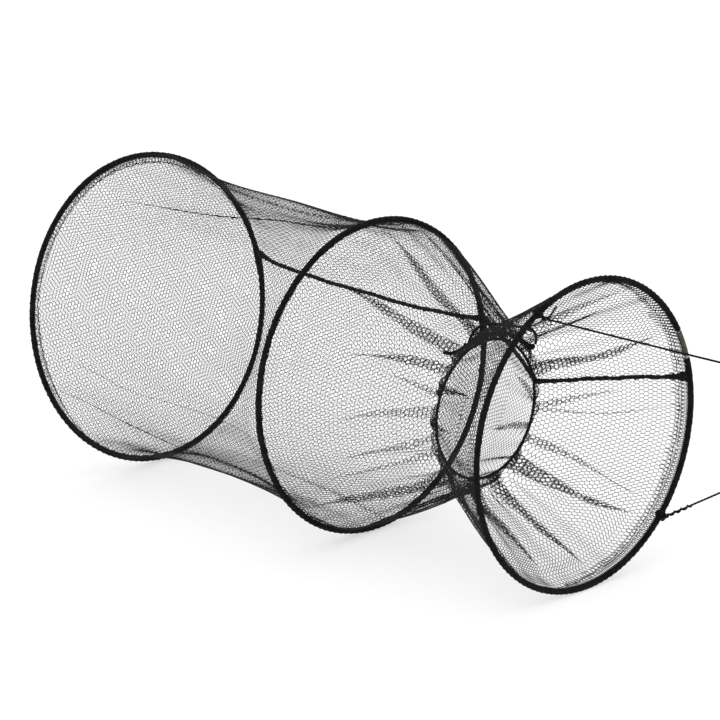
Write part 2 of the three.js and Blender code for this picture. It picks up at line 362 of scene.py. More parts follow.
def ropePiece(name, ropes, finish, slot):  # one mesh from several ropes
    parts = [ropeParts(*rope) for rope in ropes]
    uv = [part[3][:len(part[1]) * 4] for part in parts] + [part[3][len(part[1]) * 4:] for part in parts]
    return meshFrom(name, *joinStrands([part[:3] for part in parts]), finish, slot, np.vstack(uv))


def knotLine(centre, size, squeeze, turn):  # one closed overhand knot, drawn tight
    t = 2 * math.pi * np.arange(90) / 90
    line = np.stack([np.sin(t) + 2 * np.sin(2 * t), np.cos(t) - 2 * np.cos(2 * t), -1.3 * np.sin(3 * t)], 1)
    line = line / 3 * np.array(squeeze) * size
    c, s = math.cos(turn), math.sin(turn)
    spun = np.stack([line[:, 0], line[:, 1] * c - line[:, 2] * s, line[:, 1] * s + line[:, 2] * c], 1)
    return spun + np.array(centre)


def knotParts(centre, radius, coils, pitch=0.006, sides=8):  # overhand knots through each other: one lump
    return [(knotLine(centre, size, squeeze, turn), radius, plaited(0.2, pitch), sides, True)
            for size, squeeze, turn in coils]


def boxOf(node):
    return [np.array(corner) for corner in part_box(node)]


def ringFrom(bindingNode, tube):  # centre and radius of an upright hoop from its binding's box
    low, high = boxOf(bindingNode)
    return {"centre": (low + high) / 2, "radius": (high[1] - low[1]) / 2 - tube, "lean": 0.0}


ringTube = {"binding": 0.003, "throat": 0.0014, "baseNet": 0.0004}
baseRing = ringFrom("base_binding", ringTube["binding"])
netLow, netHigh = boxOf("base_net")
baseRing["lean"] = math.asin(((netHigh - netLow)[0] / 2 - ringTube["baseNet"]) / ((netHigh - netLow)[1] / 2))
middleRing = ringFrom("middle_binding", ringTube["binding"])
mouthRing = ringFrom("mouth_binding", ringTube["binding"])
throatRing = ringFrom("throat_cord", ringTube["throat"])


def leaned(ring, x, y, z):  # a place in a ring's own frame, with x along its axis, in the frame of the model
    x, y, z = np.broadcast_arrays(x, y, z)
    c, s = math.cos(ring["lean"]), math.sin(ring["lean"])
    return ring["centre"] + np.stack([x * c - z * s, y, x * s + z * c], -1)


def onRing(ring, angle, out=0.0, forward=0.0):
    # a point beside a ring, at an angle from +Y towards +Z
    a = math.radians(angle)
    reach = ring["radius"] + out
    return leaned(ring, forward, reach * math.cos(a), reach * math.sin(a))


def ringLoop(ring, count):
    return np.array([onRing(ring, 360 * k / count) for k in range(count)])


bridle = {
    "radius": 0.001,
    "end": (0.516, 0.143, 0.202),
    "upper": {"angle": 117.5, "forward": 0.004, "inward": 0.0055},
    "lower": {"angle": -43.5, "forward": 0.007, "inward": 0.0},
    "sag": 0.0012,
    "hoopGap": 0.0029,  # from the middle of a hoop knot to where its leg starts
    "endGap": 0.0035,
    "wound": {"turns": 3.5, "length": 0.029, "out": 0.0014, "radius": 0.0008},
    "knotRadius": 0.001,
    "coil": {"radius": 0.0043, "turns": 2.25, "middle": 1.1, "rise": 0.0021},
    "eye": {"forward": 0.0072, "radius": 0.005},
    "upperTail": [(0, 0, 0), (0.002, 0.004, 0.001), (0.0015, 0.009, 0.0028), (0.0, 0.014, 0.0056),
                  (-0.001, 0.0175, 0.0066)],
    "lowerTail": [(0, 0, 0), (0.001, -0.004, -0.002), (0.0015, -0.0075, -0.0022), (0.001, -0.0095, -0.0002)],
    "tailRadius": 0.0009,
    "step": 0.0007,
}


def legLine(knot):
    start = onRing(mouthRing, knot["angle"], -knot["inward"], knot["forward"])
    end = np.array(bridle["end"])
    along = unit(end - start)
    start, end = start + along * bridle["hoopGap"], end - along * bridle["endGap"]
    t = np.linspace(0, 1, 220)[:, None]
    line = start + (end - start) * t
    line[:, 2] -= (4 * bridle["sag"] * t * (1 - t))[:, 0]
    return evenLine(line, 0.0011)


def woundTail(line, look):  # a loose end wound round a leg
    count = int(look["length"] / bridle["step"])
    keep = np.linspace(0, len(line) * look["length"] / travelled(line)[-1], count)
    base = np.stack([np.interp(keep, np.arange(len(line)), line[:, k]) for k in range(3)], 1)
    _, normals, across = carriedFrames(base, False)
    angle = 2 * math.pi * look["turns"] * np.linspace(0, 1, count)[:, None]
    return base + look["out"] * (np.cos(angle) * normals + np.sin(angle) * across)


def addBridleLegs():
    for name, node, knot in (("bridleLegUpper", "bridle_leg_upper", bridle["upper"]),
                             ("bridleLegLower", "bridle_leg_lower", bridle["lower"])):
        line = legLine(knot)
        parts = [(line, bridle["radius"], plaited(0.22, 0.006), 10, False)]
        if name == "bridleLegLower":
            wound = bridle["wound"]
            parts.append((woundTail(line, wound), wound["radius"], plaited(0.2, 0.006), 8, False))
        leg = ropePiece(name, parts, braid, "cord")
        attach(leg, "bridle")
        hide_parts(node)


def addBridleEnd():  # the knot that joins the legs, and the eye for a hauling line
    end, look = np.array(bridle["end"]), bridle["eye"]
    t = np.linspace(0.12 * math.pi, 1.88 * math.pi, 60)
    loop = np.stack([look["forward"] - look["radius"] * np.cos(t), look["radius"] * np.sin(t),
                     0.0006 * np.sin(2 * t)], 1)
    parts = knotParts(end, bridle["knotRadius"], [(0.0021, (1.15, 1, 1), 0), (0.0017, (1, 1.1, 1), 1.5)])
    parts.append((end + loop, bridle["knotRadius"], plaited(0.2, 0.006), 8, False))
    knot = ropePiece("bridleEndKnot", parts, braid, "cord")
    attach(knot, "bridle")
    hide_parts("bridle_end_knot")


def addBridleKnot(name, node, place, tail):
    # two turns round the mouth hoop, a tight knot in front of it, and a short loose end
    angle = place["angle"]
    radial = unit(onRing(mouthRing, angle, 0.01) - mouthRing["centre"])
    side = np.cross([1, 0, 0], radial)
    middle = onRing(mouthRing, angle)
    look, radius = bridle["coil"], bridle["knotRadius"]
    t = np.linspace(0, look["turns"], 90)[:, None]
    turn = 2 * math.pi * t
    coil = middle + look["radius"] * (np.cos(turn) * np.array([1, 0, 0]) + np.sin(turn) * radial)
    coil = coil + (t - look["middle"]) * look["rise"] * side
    lump = onRing(mouthRing, angle, -place["inward"], place["forward"])
    toLump = smoothLine([coil[-1], (coil[-1] + lump) / 2 + radial * 0.0008, lump], bridle["step"])
    parts = [(evenLine(np.vstack([coil, toLump[1:]]), bridle["step"]), radius, plaited(0.2, 0.006), 8, False)]
    parts += knotParts(lump, radius, [(0.0017, (1, 1, 1), 0), (0.0014, (1, 1, 1), 1.2)])
    end = smoothLine([lump + np.array(p) for p in tail], bridle["step"])
    parts.append((end, bridle["tailRadius"], plaited(0.2, 0.006), 8, False))
    knot = ropePiece(name, parts, braid, "cord")
    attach(knot, "mouth")
    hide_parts(node)


drawstring = {
    "radius": 0.0014,
    "tailRadius": 0.0021,
    "step": 0.0007,
    "knot": [(0.0036, (1, 1.25, 1), 0), (0.003, (1.1, 1, 1), 1.4)],
    "knotCore": [(0.002, (1, 1, 1), 0.7)],
    "stopKnot": [(0.0027, (1, 1.2, 1), 0), (0.0019, (1, 1, 1), 1.1)],
    "hitch": [(0.0025, (0.9, 1.2, 1), 0)],
    "hitchAt": 0.58,  # share of the left tail's length
    "bowRight": [(0.144, 0.0316, 0.2242), (0.144, 0.0453, 0.22), (0.144, 0.0548, 0.2172),
                 (0.1435, 0.0629, 0.2133), (0.143, 0.0679, 0.2077), (0.1425, 0.0692, 0.2025),
                 (0.142, 0.0686, 0.1989)],
    "bowLeft": [(0.144, 0.0284, 0.2253), (0.144, 0.0139, 0.2291), (0.144, 0.0005, 0.2314),
                (0.1435, -0.0104, 0.2302), (0.1426, -0.0171, 0.2254), (0.141, -0.0195, 0.218)],
    "tailLeft": [(0.138, 0.0192, 0.2186), (0.138, 0.0081, 0.2191), (0.138, 0.0001, 0.2186),
                 (0.138, -0.0098, 0.2171), (0.138, -0.019, 0.2144), (0.138, -0.0282, 0.2114),
                 (0.138, -0.0386, 0.2105), (0.138, -0.0485, 0.2134)],
    "tailRight": [(0.1387, 0.033, 0.2153), (0.1396, 0.0403, 0.2118), (0.14, 0.0463, 0.2084),
                  (0.14, 0.0528, 0.2042), (0.14, 0.059, 0.2002), (0.14, 0.0646, 0.1966)],
}


def addTie():  # the drawstring's tie on top of the throat
    centre = sum(boxOf("throat_knot")) / 2
    knot = ropePiece("throatKnot", knotParts(centre, 0.0016, drawstring["knot"], 0.008, 10)
                     + knotParts(centre, 0.0014, drawstring["knotCore"], 0.008, 10), braid, "cord")
    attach(knot, "throat")
    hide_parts("throat_knot")
    for name, node, key, farEnd in (("throatBowRight", "throat_bow_right", "bowRight", "object"),
                                    ("throatBowLeft", "throat_bow_left", "bowLeft", "object"),
                                    ("throatTailLeft", "throat_tail_left", "tailLeft", "bare"),
                                    ("throatTailRight", "throat_tail_right", "tailRight", "knot")):
        line = smoothLine(drawstring[key], drawstring["step"])
        radius, shape = drawstring["radius"], plaited(0.2, 0.008)
        if key.startswith("tail"):
            radius, shape = drawstring["tailRadius"], lobes(2, 0.3, 0.011)
        parts = [(line, radius, shape, 10, False)]
        if key == "tailRight":
            parts += knotParts(line[-1], 0.0015, drawstring["stopKnot"])
        if key == "tailLeft":  # the hitch where the loop is tied in
            parts += knotParts(line[int(len(line) * drawstring["hitchAt"])], 0.0014, drawstring["hitch"])
        cord = ropePiece(name, parts, braid, "cord")
        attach(cord, "throat")
        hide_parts(node)


def addThroatCord():
    ring = ropePiece("throatCord", [
        (ringLoop(throatRing, 560), drawstring["radius"], plaited(0.2, 0.008), 10, True),
    ], braid, "cord")
    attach(ring, "throat")
    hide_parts("throat_cord")


addBridleLegs()
addBridleEnd()
addBridleKnot("bridleKnotUpper", "bridle_knot_upper", bridle["upper"], bridle["upperTail"])
addBridleKnot("bridleKnotLower", "bridle_knot_lower", bridle["lower"], bridle["lowerTail"])
addTie()
addThroatCord()
print("cords made")


bindingLook = {
    "tube": 0.0028,
    "segments": 260,
    "sides": 14,
    "unevenness": 0.00022,
    "threadRadius": 0.00038,
    "threadTurns": 132,
    "threadLift": 0.0001,
    "gapHalf": 5.7,  # degrees of mouth hoop left without tape, either side of its joint
}
patchLook = {"tube": 0.0033, "segments": 200, "sides": 16, "half": 0.0155, "bulge": 0.14}


def jointAngle(node, ring):  # where a hoop's crimp sleeve sits, from +Y towards +Z
    away = sum(boxOf(node)) / 2 - ring["centre"]
    return math.degrees(math.atan2(away[2], away[1]))


def offAngle(ring, vertex, middle):  # how many degrees a vertex is from middle, and its own angle
    away = np.array(vertex.co) - ring["centre"]
    angle = math.degrees(math.atan2(away[2], away[1]))
    return abs((angle - middle + 180) % 360 - 180), angle


def keepArc(piece, ring, middle, half, bulge):  # keep one arc of a ring and close its ends
    bpy.ops.object.mode_set(mode="EDIT")
    bpy.ops.mesh.select_all(action="DESELECT")
    bpy.ops.object.mode_set(mode="OBJECT")
    for vertex in piece.data.vertices:
        vertex.select = offAngle(ring, vertex, middle)[0] > half
    bpy.ops.object.mode_set(mode="EDIT")
    bpy.ops.mesh.select_mode(type="VERT")
    bpy.ops.mesh.delete(type="VERT")
    bpy.ops.mesh.select_all(action="SELECT")
    bpy.ops.mesh.select_non_manifold()
    bpy.ops.mesh.extrude_region_shrink_fatten(TRANSFORM_OT_shrink_fatten={"value": -0.0006})
    bpy.ops.mesh.fill_holes(sides=0)
    bpy.ops.mesh.select_all(action="SELECT")
    bpy.ops.mesh.normals_make_consistent(inside=False)
    bpy.ops.object.mode_set(mode="OBJECT")
    if bulge:  # fuller in the middle of a patch
        for vertex in piece.data.vertices:
            off, angle = offAngle(ring, vertex, middle)
            share = 1 - min(1.0, off / half) ** 2
            core = Vector(onRing(ring, angle))
            vertex.co = core + (vertex.co - core) * (1 + bulge * share)


def torusPiece(name, ring, look, seed, middle, half):  # tape on an arc of a hoop, or all round it
    bpy.ops.object.select_all(action="DESELECT")
    bpy.ops.mesh.primitive_torus_add(major_radius=ring["radius"], minor_radius=look["tube"],
                                     major_segments=look["segments"], minor_segments=look["sides"],
                                     location=tuple(ring["centre"]),
                                     rotation=(0, math.pi / 2 - ring["lean"], 0), generate_uvs=True)
    piece = bpy.context.object
    piece.name = name
    piece.data.name = name
    bpy.ops.object.transform_apply(location=True, rotation=True, scale=True)
    if half is not None:
        keepArc(piece, ring, middle, half, look.get("bulge", 0.0))
    bpy.ops.object.mode_set(mode="EDIT")
    bpy.ops.mesh.select_all(action="SELECT")
    bpy.ops.transform.vertex_random(offset=bindingLook["unevenness"], uniform=0.3, normal=0.7, seed=seed)
    bpy.ops.mesh.vertices_smooth(factor=0.4, repeat=1)
    bpy.ops.object.mode_set(mode="OBJECT")
    bpy.ops.object.shade_smooth()
    piece.data.materials.append(tape)
    return piece


def threadLine(ring, fromAngle, toAngle, turns, out):  # overcast thread round a hoop
    t = np.linspace(0, 1, 14 * turns + 1)
    angles = np.radians(fromAngle + (toAngle - fromAngle) * t)
    spin = 2 * math.pi * turns * t
    reach = ring["radius"] + out * np.cos(spin)
    return leaned(ring, out * np.sin(spin), reach * np.cos(angles), reach * np.sin(angles))


def joinInto(piece, other):
    bpy.ops.object.select_all(action="DESELECT")
    other.select_set(True)
    piece.select_set(True)
    bpy.context.view_layer.objects.active = piece
    bpy.ops.object.join()


def addHoop(name, ring, body, bindingNode, sleeveNode, wrapNode, seed):
    joint = jointAngle(sleeveNode, ring)
    gap = 0.0 if wrapNode else bindingLook["gapHalf"]
    binding = torusPiece(name + "Binding", ring, bindingLook, seed, joint + 180, 180 - gap if gap else None)
    line = threadLine(ring, joint + gap + 1, joint + 359 - gap, bindingLook["threadTurns"],
                      bindingLook["tube"] + bindingLook["threadLift"])
    thread = ropePiece(name + "Thread", [(line, bindingLook["threadRadius"], lobes(2, 0.2, 0.003), 5, False)],
                       tape, "binding")
    joinInto(binding, thread)
    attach(binding, body)
    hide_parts(bindingNode)
    if wrapNode:
        half = math.degrees(patchLook["half"] / ring["radius"])
        patch = torusPiece(name + "JointPatch", ring, patchLook, seed + 7, joint, half)
        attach(patch, body)
        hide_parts(wrapNode)


addHoop("base", baseRing, "base", "base_binding", "base_ferrule", "base_joint_wrap", 3)
addHoop("middle", middleRing, "middle", "middle_binding", "middle_ferrule", "middle_joint_wrap", 4)
addHoop("mouth", mouthRing, "mouth", "mouth_binding", "mouth_ferrule", None, 5)


def refinish(names, finish):  # the finish of nodes that stay as they are in the CAD
    for name in names:
        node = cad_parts[name]
        node.data.materials.clear()
        node.data.materials.append(finish)


refinish(("base_hoop", "middle_hoop", "mouth_hoop"), springWire)
refinish(("base_ferrule", "middle_ferrule", "mouth_ferrule"), crimp)
print("hoops made")


netLook = {
    "cells": 222,        # holes round every net
    "side": 0.00248,     # length of one side of a hole
    "inset": 0.0015,     # from the middle of a hoop to the first yarn
    "neckInset": 0.0002,
    "foldGrowth": 0.8,   # how fast a fold widens along its length
    "foldHeight": 0.0019,
    "slackStart": 0.015,  # how far from a ring the slack is in full
    "tieCalm": (0.75, 0.4),  # how far the tie holds the ruffles down, and over what angle
    "foot": 0.0022,      # from the middle of a hoop to a hem's first yarn
    "hemWidest": 0.0185,
    "hemStitch": 0.00042,
    "yarn": 0.00028,     # the base net's, from the middle of the yarn to a corner of its section
    "firstAngle": 10.0,  # the nets start at the seam
    "cover": 1300,       # share of the cloth that is yarn and not holes, for each metre of yarn size
}


def netStrands(place, rows, swings, closed, yarn, keepNode=None, columns=2 * netLook["cells"]):
    # Zigzag yarns run along the rows and links join their peaks, as in a knitted hexagonal mesh.
    # place(u, s) gives points and outward directions, and keepNode says which of them are drawn.
    # Returns points, quads and triangles.
    rowIndex = np.arange(len(rows))[:, None]
    column = np.arange(columns)[None, :]
    sign = np.where((rowIndex + column) % 2 == 0, 1.0, -1.0)
    u = np.broadcast_to(column / 2, sign.shape)
    s = np.asarray(rows)[:, None] + sign * np.asarray(swings)[:, None]
    points, outward = place(u, s)
    if closed:
        tangents = unit(np.roll(points, -1, 1) - np.roll(points, 1, 1))
    else:
        tangents = unit(np.gradient(points, axis=1))
    across = unit(np.cross(tangents, outward))
    upright = np.cross(across, tangents)
    angle = np.radians([0, 120, 240])

    def section(middle, up, over):
        return (middle[..., None, :] + yarn * (np.cos(angle)[:, None] * up[..., None, :]
                                               + np.sin(angle)[:, None] * over[..., None, :]))

    zigzags = section(points, upright, across).reshape(-1, 3)
    keep = keepNode(u, s) if keepNode else np.ones(sign.shape, bool)
    corner = np.arange(3)
    following = np.roll(column[0], -1) if closed else column[0] + 1
    none = np.zeros((len(rows), 1), bool)
    live = keep & (keep[:, following] if closed else np.hstack([keep[:, 1:], none]))
    i, j = np.nonzero(live)
    here = (i * columns + j) * 3
    there = (i * columns + following[j]) * 3
    nextCorner = (corner + 1) % 3
    quads = [np.stack([here[:, None] + corner, here[:, None] + nextCorner,
                       there[:, None] + nextCorner, there[:, None] + corner], -1).reshape(-1, 4)]
    triangles = []
    before = np.roll(live, 1, 1) if closed else np.hstack([none, live[:, :-1]])
    for starts, order in ((live & ~before, (2, 1, 0)), (before & ~live, (0, 1, 2))):
        i, j = np.nonzero(starts)
        triangles.append((i * columns + j)[:, None] * 3 + np.array(order))
    i, j = np.nonzero((sign[:-1] > 0) & keep[:-1] & keep[1:])
    a, b = points[i, j], points[i + 1, j]
    along = unit(b - a)
    over = unit(np.cross(along, outward[i, j]))
    up = np.cross(over, along)
    both = np.stack([section(a, up, over), section(b, up, over)], 1).reshape(-1, 3)
    first = len(zigzags) + np.arange(len(a))[:, None] * 6
    quads.append(np.stack([first + corner, first + nextCorner, first + 3 + nextCorner, first + 3 + corner],
                          -1).reshape(-1, 4))
    triangles.append(first + np.array((2, 1, 0)))
    triangles.append(first + 3 + np.array((0, 1, 2)))
    return np.vstack([zigzags, both]), np.vstack(quads), np.vstack(triangles)


def tidyStrands(points, quads, triangles):  # drop points that no face uses
    used = np.zeros(len(points), bool)
    used[quads.ravel()] = True
    used[triangles.ravel()] = True
    number = np.cumsum(used) - 1
    return points[used], number[quads], number[triangles]


def rowsBetween(start, end, widthAt):
    # rows of holes from start to end: the narrower a hole is drawn, the longer it stands
    side = netLook["side"]

    def swing(s):
        return 0.5 * math.sqrt(max(side ** 2 - (widthAt(s) / 2) ** 2, (0.25 * side) ** 2))

    rows, swings = [start + swing(start)], [swing(start)]
    while True:
        step = side + swings[-1] + swing(rows[-1] + side)
        if rows[-1] + step + swings[-1] > end:
            break
        rows.append(rows[-1] + step)
        swings.append(swing(rows[-1]))
    stretch = (end - start - swings[0] - swings[-1]) / (rows[-1] - rows[0])
    rows = [start + swings[0] + (row - rows[0]) * stretch for row in rows]
    return rows, swings


def netRadius(ringA, ringB, look, t):  # the higher the flank, the sooner the net draws in
    drawn = look["waist"] * (1 - np.abs(2 * t - 1) ** look["flank"])
    return ringA["radius"] + (ringB["radius"] - ringA["radius"]) * t - drawn


def netWall(ringA, ringB, look, insetA, insetB):
    # The net between two rings. Returns place(u, s), its length and a hole's width at s.
    a, b = ringA["centre"], ringB["centre"]
    t = np.linspace(0, 1, 400)
    radius = netRadius(ringA, ringB, look, t)
    step = np.hypot(np.diff(radius), np.diff(t) * (b[0] - a[0]))
    far = np.concatenate([[0], np.cumsum(step)])
    start, end = insetA, far[-1] - insetB
    slopeX = np.gradient(radius, t * (b[0] - a[0]))
    first = math.radians(netLook["firstAngle"])

    def foldTable(share, reach):
        # Where the cloth of one row goes: it runs on, back and on again through each fold.
        # Returns the cloth's length round the ring, the angle reached, and the lift of each layer.
        spots = []
        for angle, drift, begins, widest, size, layers, side in look["folds"]:
            progress = min(max((share - begins) / (widest - begins), 0.0), 1.0)
            width = size * progress ** netLook["foldGrowth"] / reach
            middle = math.radians(angle + drift * (1 - progress) + 0.8 * math.sin(8 * share + angle)) - first
            wobble = 1 + 0.16 * math.sin(11 * share + angle) + 0.1 * math.sin(23 * share + 2 * angle)
            spots.append((middle % (2 * math.pi), width, wobble, layers, side))
        cloth, angles, lifts, spent = [0.0], [0.0], [0.0], 0.0
        for middle, width, wobble, layers, side in sorted(spots):
            centre = middle + spent + (layers - 1) * width / 2
            spent += (layers - 1) * width
            layer = width * wobble
            if layer < 1e-5:
                continue
            height = side * min(0.3 * layer * reach, netLook["foldHeight"])
            begin = max(centre - layers * layer / 2, cloth[-1] + 1e-4)
            near = max(middle - layer / 2, angles[-1])
            cloth.append(begin)
            angles.append(near)
            lifts.append(0.0)
            for number in range(1, layers + 1):
                cloth.append(begin + number * layer)
                angles.append(near + (layer if number % 2 else 0.0))
                lifts.append(0.0 if number == layers else height * (1 - 2 * (number - 1) / (layers - 2)))
        return cloth + [2 * math.pi + spent], angles + [2 * math.pi], lifts + [0.0]

    def place(u, s, lift=0.0):
        u, s = np.broadcast_arrays(np.atleast_2d(u), np.atleast_2d(s))
        share = np.interp(s, far, t)
        reach = np.interp(share, t, radius)
        lean = np.interp(share, t, slopeX)
        angle, rise = np.zeros_like(share), np.full_like(share, lift)
        for row in range(len(u)):
            cloth, angles, lifts = foldTable(float(share[row].mean()), float(reach[row].mean()))
            spot = (u[row] / netLook["cells"] % 1.0) * cloth[-1]
            angle[row] = first + np.interp(spot, cloth, angles)
            rise[row] += np.interp(spot, cloth, lifts)
        # slack between the rings, and ruffles beside the neck
        held = np.clip(np.minimum(s, far[-1] - s) / netLook["slackStart"], 0, 1)
        for size, turns, phase, twist in look["slack"]:
            rise = rise + size * held * np.sin(turns * angle + phase + twist * share)
        puff = look.get("puff")
        if puff:
            away = (s if ringA["radius"] < ringB["radius"] else far[-1] - s) / puff["reach"]
            away = np.clip(away, 0, 8)
            tie = np.abs((angle - math.radians(puff["tieAngle"]) + math.pi) % (2 * math.pi) - math.pi)
            height = puff["height"]
            for size, turns, phase in puff["ruffles"]:
                height = height + size * np.sin(turns * angle + phase)
            calm, calmAngle = netLook["tieCalm"]
            rise = rise + height * (1 - calm * np.exp(-(tie / calmAngle) ** 2)) * away * np.exp(1 - away)
        outX, outR = -lean / np.hypot(1, lean), 1 / np.hypot(1, lean)
        reach = reach + rise * outR
        tip = -math.tan(ringA["lean"]) * (1 - share) * reach * np.sin(angle)
        x = a[0] + (b[0] - a[0]) * share + rise * outX + tip
        y = a[1] + (b[1] - a[1]) * share + reach * np.cos(angle)
        z = a[2] + (b[2] - a[2]) * share + reach * np.sin(angle)
        outward = np.stack([outX, outR * np.cos(angle), outR * np.sin(angle)], -1)
        return np.stack([x, y, z], -1), outward

    def widthAt(s):
        share = float(np.interp(s, far, t))
        reach = float(np.interp(share, t, radius))
        return reach * foldTable(share, reach)[0][-1] / netLook["cells"]

    return {"place": place, "start": start, "end": end, "widthAt": widthAt, "length": far[-1]}


def netPiece(name, strands, finish):
    return meshFrom(name, *tidyStrands(*strands), finish, "netting")


def hemParts(wall, hoopAtStart, reachAt, lift, yarn):
    # The turned-over edge of a net: more layers of mesh beside the hoop, and the stitches that hold them.
    # reachAt(angle) says how far from the hoop the hem goes.
    first, length = netLook["firstAngle"], wall["length"]
    foot, widest = netLook["foot"], netLook["hemWidest"]
    span = (foot, widest) if hoopAtStart else (length - widest, length - foot)
    rows, swings = rowsBetween(*span, wall["widthAt"])
    groups = []
    for layer, share in ((1, 1.0), (2, 0.62)):
        def place(u, s, layer=layer):
            return wall["place"](u + 0.37 * layer, s, lift * layer)

        def keep(u, s, share=share, layer=layer):
            angle = first + 360 * u / netLook["cells"]
            ragged = 0.0014 * np.sin(u * 0.31 + 2 * layer) + 0.0008 * np.sin(u * 1.7 + layer)
            ragged = ragged + 0.0005 * np.sin(u * 4.1)
            return (s if hoopAtStart else length - s) < share * reachAt(angle) + ragged

        groups.append(netStrands(place, rows, swings, True, yarn, keep))
    count = 3 * netLook["cells"]
    u = np.arange(count) / 3
    wander = 0.0005 * np.sin(u * 0.9) + 0.0004 * np.sin(u * 2.3 + 1) + 0.0004 * (np.arange(count) % 2)
    away = reachAt(first + 360 * u / netLook["cells"]) * 0.62 + wander
    line, _ = wall["place"](u, away if hoopAtStart else length - away, lift * 1.5)
    groups.append(ropeParts(line[0], netLook["hemStitch"], lobes(2, 0.35, 0.004), 6, True)[:3])
    return joinStrands(groups)


def hemReach(narrow, wide, spots):  # how wide a hem is at an angle: narrow, but wide near the spots
    def reach(angle):
        size = np.full(np.shape(angle), narrow)
        for middle, half in spots:
            off = np.abs((angle - middle + 180) % 360 - 180)
            size = np.maximum(size, narrow + (wide - narrow) * np.clip(1.5 - off / half, 0, 1))
        return size
    return reach


# each fold: its angle at the end where it is widest, drift to its other end, the shares of the way where it
# starts and is widest, width, layers of cloth, and the side that it stands out on
chamber = {
    "waist": 0.015,
    "flank": 3.5,
    "yarn": 0.00025,
    "hemYarn": 0.00028,
    "hemLift": 0.0006,
    "baseHem": (0.0045, 0.012, [(75, 45), (250, 30)]),
    "middleHem": (0.0045, 0.008, [(60, 40), (250, 40)]),
    "folds": [
        (98, 20, 0.1, 0.7, 0.0026, 9, 1), (70, 4, -0.1, 0.5, 0.002, 7, -1),
        (78, 5, 0.3, 1.0, 0.006, 3, 1), (220, -20, 0.0, 0.5, 0.0019, 7, 1),
        (193, -7, 0.0, 0.32, 0.001, 5, 1), (276, 6, 0.15, 0.9, 0.004, 3, -1),
    ],
    "slack": [(0.0026, 5, 0.4, 4.0), (0.0011, 13, 2.0, -6.0), (0.0003, 29, 1.0, 4.0)],
}
rearFunnel = {
    "waist": -0.004,
    "flank": 2,
    "yarn": 0.00028,
    "hemYarn": 0.0003,
    "hemLift": -0.0006,
    "hem": (0.0035, 0.0095, [(48, 38), (255, 38)]),
    "puff": {"height": 0.0055, "reach": 0.016, "tieAngle": 76,
             "ruffles": [(0.0016, 19, 0.4), (0.0013, 33, 1.9)]},
    "folds": [
        (121, 5, 0.17, 1.0, 0.017, 5, 1), (97, -7, 0.1, 1.0, 0.016, 5, -1),
        (71, -3, 0.05, 1.0, 0.014, 3, 1), (52, 3, 0.1, 1.0, 0.010, 3, 1),
        (137, 14, 0.46, 1.0, 0.011, 5, -1), (156, -2, 0.72, 1.0, 0.008, 3, 1),
        (169, 14, 0.45, 1.0, 0.010, 3, 1), (189, 14, 0.46, 1.0, 0.011, 3, -1),
        (204, 9, 0.28, 1.0, 0.006, 3, 1), (229, -1, 0.07, 1.0, 0.015, 5, 1),
        (258, 3, 0.05, 1.0, 0.015, 5, -1), (284, -4, 0.2, 1.0, 0.013, 3, 1),
        (310, 3, 0.4, 1.0, 0.010, 3, 1), (334, -5, 0.3, 1.0, 0.009, 3, -1),
        (354, 4, 0.5, 1.0, 0.009, 3, 1), (30, -6, 0.25, 1.0, 0.012, 3, 1),
    ],
    "slack": [(0.0013, 9, 0.3, 3.0), (0.0008, 17, 1.7, -2.0), (0.0005, 31, 0.6, 2.0)],
}
frontFunnel = {
    "waist": -0.004,
    "flank": 2,
    "yarn": 0.00035,
    "hemYarn": 0.0004,
    "hemLift": -0.0006,
    "hem": (0.006, 0.0165, [(5, 75), (300, 30)]),
    "puff": {"height": 0.0055, "reach": 0.016, "tieAngle": 76,
             "ruffles": [(0.0016, 17, 1.4), (0.0013, 37, 0.9)]},
    "folds": [
        (20, 8, 0.82, 0.0, 0.014, 5, 1), (45, 11, 0.62, 0.0, 0.013, 3, -1),
        (60, 3, 0.92, 0.0, 0.011, 3, 1), (84, 3, 0.93, 0.0, 0.016, 3, -1),
        (351, 14, 0.55, 0.0, 0.007, 3, 1), (347, 10, 0.86, 0.0, 0.004, 3, -1),
        (326, -6, 0.8, 0.0, 0.009, 3, 1), (302, 10, 0.82, 0.0, 0.016, 5, -1),
        (278, 0, 0.85, 0.0, 0.014, 5, 1), (254, 4, 0.75, 0.0, 0.014, 5, -1),
        (228, -5, 0.55, 0.0, 0.012, 3, 1), (203, 5, 0.6, 0.0, 0.010, 3, -1),
        (177, -3, 0.5, 0.0, 0.010, 3, 1), (151, 5, 0.65, 0.0, 0.012, 3, 1),
        (124, -4, 0.7, 0.0, 0.014, 3, -1), (104, 3, 0.85, 0.0, 0.011, 3, 1),
    ],
    "slack": [(0.0013, 8, 0.9, 3.0), (0.0008, 19, 0.2, -2.0), (0.0005, 33, 2.6, 2.0)],
}


def addChamber():
    wall = netWall(baseRing, middleRing, chamber, netLook["inset"], netLook["inset"])
    rows, swings = rowsBetween(wall["start"], wall["end"], wall["widthAt"])
    half = len(rows) // 2
    hem = netPiece("chamberHems", joinStrands([
        hemParts(wall, True, hemReach(*chamber["baseHem"]), chamber["hemLift"], chamber["hemYarn"]),
        hemParts(wall, False, hemReach(*chamber["middleHem"]), chamber["hemLift"], chamber["hemYarn"]),
    ]), hemYarn)
    follow(hem, "middle")
    for name, part in (("chamberNetBack", slice(0, half + 1)), ("chamberNetFront", slice(half, None))):
        strands = netStrands(wall["place"], rows[part], swings[part], True, chamber["yarn"])
        if part.start:  # the shared row belongs to the back half
            strands = withoutFirstRow(strands)
        net = netPiece(name, strands, netYarn)
        follow(net, "middle")
        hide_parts("chamber_net")


def withoutFirstRow(strands):
    points, quads, triangles = strands
    first = 2 * netLook["cells"] * 3  # three points for each place in a row
    return points, quads[~(quads < first).all(1)], triangles


def follow(piece, body):
    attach(piece, body)
    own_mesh(piece)


